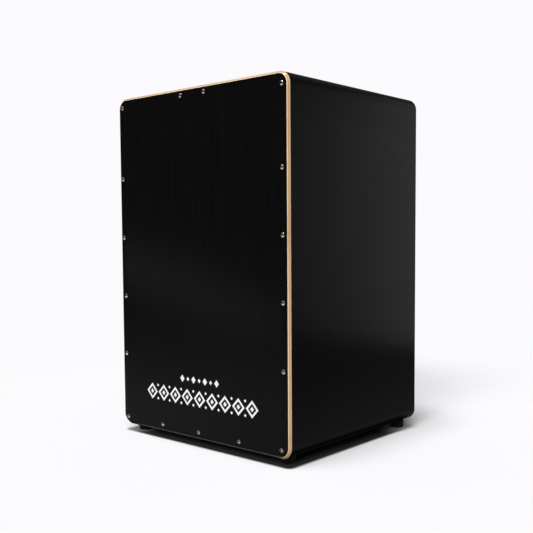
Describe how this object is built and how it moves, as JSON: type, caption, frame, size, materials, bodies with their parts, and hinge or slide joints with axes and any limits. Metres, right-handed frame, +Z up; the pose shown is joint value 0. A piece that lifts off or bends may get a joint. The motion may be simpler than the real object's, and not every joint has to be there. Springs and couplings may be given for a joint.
{
  "type": "cajon",
  "caption": "Upright plywood box drum with a screwed striking plate, sound hole in the back, rubber feet and hex-key tensioned strings behind the plate.",
  "frame": {"origin": "on the floor, under the middle of the box", "axes": "+Z up; the struck front plate faces -Y; +X to the right of someone looking at the front plate"},
  "size_m": [0.32, 0.291, 0.48],
  "materials": {
    "black_ply": "black-stained birch plywood under a satin lacquer, bare birch inside",
    "tapa_ply": "three-ply birch, black satin face, clear-lacquered bevel",
    "pine": "planed softwood, unfinished",
    "hardwood": "planed beech, unfinished",
    "screw_nickel": "nickel-plated, slightly brassy",
    "zinc_steel": "zinc-plated",
    "rubber": "black matte moulded rubber",
    "brass": "machined brass",
    "bronze_string": "bronze-wound guitar string",
    "felt": "dark grey wool felt",
    "screen_print": "white screen-printed border on the tapa, in the visual model only"
  },
  "bodies": {
    "box": {"top_panel": "black_ply", "bottom_panel": "black_ply", "left_panel": "black_ply", "right_panel": "black_ply", "corner_block_top_left": "pine", "corner_block_top_right": "pine", "corner_block_bottom_left": "pine", "corner_block_bottom_right": "pine", "rear_batten_top": "pine", "rear_batten_bottom": "pine", "rear_batten_left": "pine", "rear_batten_right": "pine", "tapa": "tapa_ply", "tapa_screws": "screw_nickel", "back_panel": "black_ply", "back_screws": "screw_nickel", "foot_front_left": "rubber", "foot_front_right": "rubber", "foot_back_left": "rubber", "foot_back_right": "rubber", "foot_washers": "zinc_steel", "foot_screws": "zinc_steel", "string_anchor": "hardwood", "anchor_screws": "zinc_steel", "string_left_outer": "bronze_string", "string_left_inner": "bronze_string", "string_right_inner": "bronze_string", "string_right_outer": "bronze_string", "string_ball_ends": "brass", "damper_left": "felt", "damper_right": "felt", "tuner_block_left": "hardwood", "tuner_block_right": "hardwood", "tuner_bushing_left": "brass", "tuner_bushing_right": "brass"},
    "tuner_left": {"tuner_bolt_left": "zinc_steel", "tuner_collar_left": "zinc_steel"},
    "tuner_right": {"tuner_bolt_right": "zinc_steel", "tuner_collar_right": "zinc_steel"},
    "carriage_left": {"string_carriage_left": "brass", "string_ferrules_left": "brass"},
    "carriage_right": {"string_carriage_right": "brass", "string_ferrules_right": "brass"}
  },
  "joints": [
    {"name": "tuner_left_turn", "type": "hinge", "parent": "box", "child": "tuner_left", "pos_m": [-0.05, -0.125, 0.0209], "axis": [0, 0, 1], "range_deg": [-720, 1440]},
    {"name": "carriage_left_slide", "type": "slide", "parent": "box", "child": "carriage_left", "axis": [0, 0, 1], "range_m": [-0.004, 0.002], "deforming": ["string_left_outer", "string_left_inner"]},
    {"name": "tuner_right_turn", "type": "hinge", "parent": "box", "child": "tuner_right", "pos_m": [0.05, -0.125, 0.0209], "axis": [0, 0, 1], "range_deg": [-720, 1440]},
    {"name": "carriage_right_slide", "type": "slide", "parent": "box", "child": "carriage_right", "axis": [0, 0, 1], "range_m": [-0.004, 0.002], "deforming": ["string_right_outer", "string_right_inner"]}
  ],
  "couplings": [
    {"joint": "tuner_left_turn", "follows": "carriage_left_slide", "rad_per_m": -6283.2},
    {"joint": "tuner_right_turn", "follows": "carriage_right_slide", "rad_per_m": -6283.2}
  ]
}
